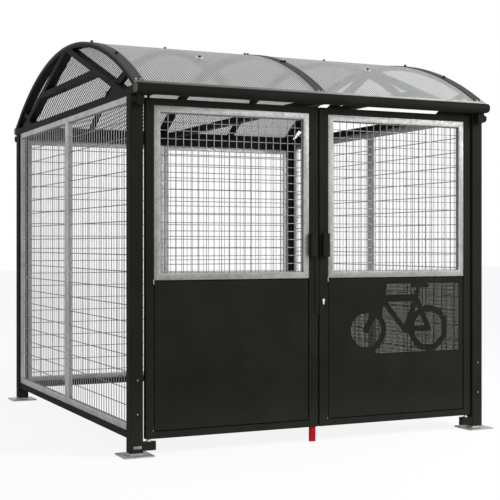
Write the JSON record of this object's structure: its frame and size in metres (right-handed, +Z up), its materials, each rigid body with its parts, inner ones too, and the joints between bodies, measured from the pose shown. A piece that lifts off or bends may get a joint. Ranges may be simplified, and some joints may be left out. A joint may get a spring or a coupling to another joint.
{
  "type": "bike shelter",
  "caption": "Lockable bike shelter: black posts, mesh walls, a barrel roof of clear sheets on arched trusses, and double mesh doors with a red drop bolt.",
  "frame": {"origin": "middle of the footprint, at floor level", "axes": "+X to the right as seen from the doors, +Y from the doors to the rear, +Z up"},
  "size_m": [2.62, 2.985, 2.6225],
  "materials": {
    "black_coat": "satin black powder coat with a fine grain",
    "galvanised": "dull hot-dip galvanised steel",
    "roof_sheet": "clear twin-wall plastic with fine ribs running over the roof",
    "red_coat": "satin red",
    "lock_metal": "satin nickel"
  },
  "bodies": {
    "frame": {"post_front_left": "black_coat", "post_front_right": "black_coat", "post_rear_left": "black_coat", "post_rear_right": "black_coat", "rail_left": "black_coat", "rail_right": "black_coat", "rail_rear": "black_coat", "beam_rear": "black_coat", "truss_left": "black_coat", "truss_middle": "black_coat", "truss_right": "black_coat", "rafter_left": "black_coat", "rafter_right": "black_coat", "cover_left": "black_coat", "cover_middle": "black_coat", "cover_right": "black_coat", "eave_front": "black_coat", "eave_rear": "black_coat", "pivot_low_left": "black_coat", "pivot_low_right": "black_coat", "pivot_top_left": "black_coat", "pivot_top_right": "black_coat", "foot_front_left": "galvanised", "foot_front_right": "galvanised", "foot_rear_left": "galvanised", "foot_rear_right": "galvanised", "wall_left_front": "galvanised", "wall_left_rear": "galvanised", "wall_right_front": "galvanised", "wall_right_rear": "galvanised", "wall_rear_left": "galvanised", "wall_rear_right": "galvanised", "roof_left": "roof_sheet", "roof_right": "roof_sheet"},
    "left_door": {"door_left": "black_coat", "window_left": "galvanised", "sheet_left": "black_coat", "handle_left": "black_coat", "meeting_strip": "black_coat"},
    "right_door": {"door_right": "black_coat", "window_right": "galvanised", "sheet_right": "black_coat", "handle_right": "black_coat", "lock_cylinder": "lock_metal"},
    "drop_bolt": {"drop_bolt": "red_coat"}
  },
  "joints": [
    {"name": "left_door_hinge", "type": "hinge", "parent": "frame", "child": "left_door", "pos_m": [-1.134, -1.3675, 1.1], "axis": [0, 0, 1], "range_deg": [-100, 0]},
    {"name": "right_door_hinge", "type": "hinge", "parent": "frame", "child": "right_door", "pos_m": [1.134, -1.3675, 1.1], "axis": [0, 0, 1], "range_deg": [0, 100]},
    {"name": "drop_bolt_slide", "type": "slide", "parent": "left_door", "child": "drop_bolt", "axis": [0, 0, 1], "range_m": [0, 0.08]}
  ]
}
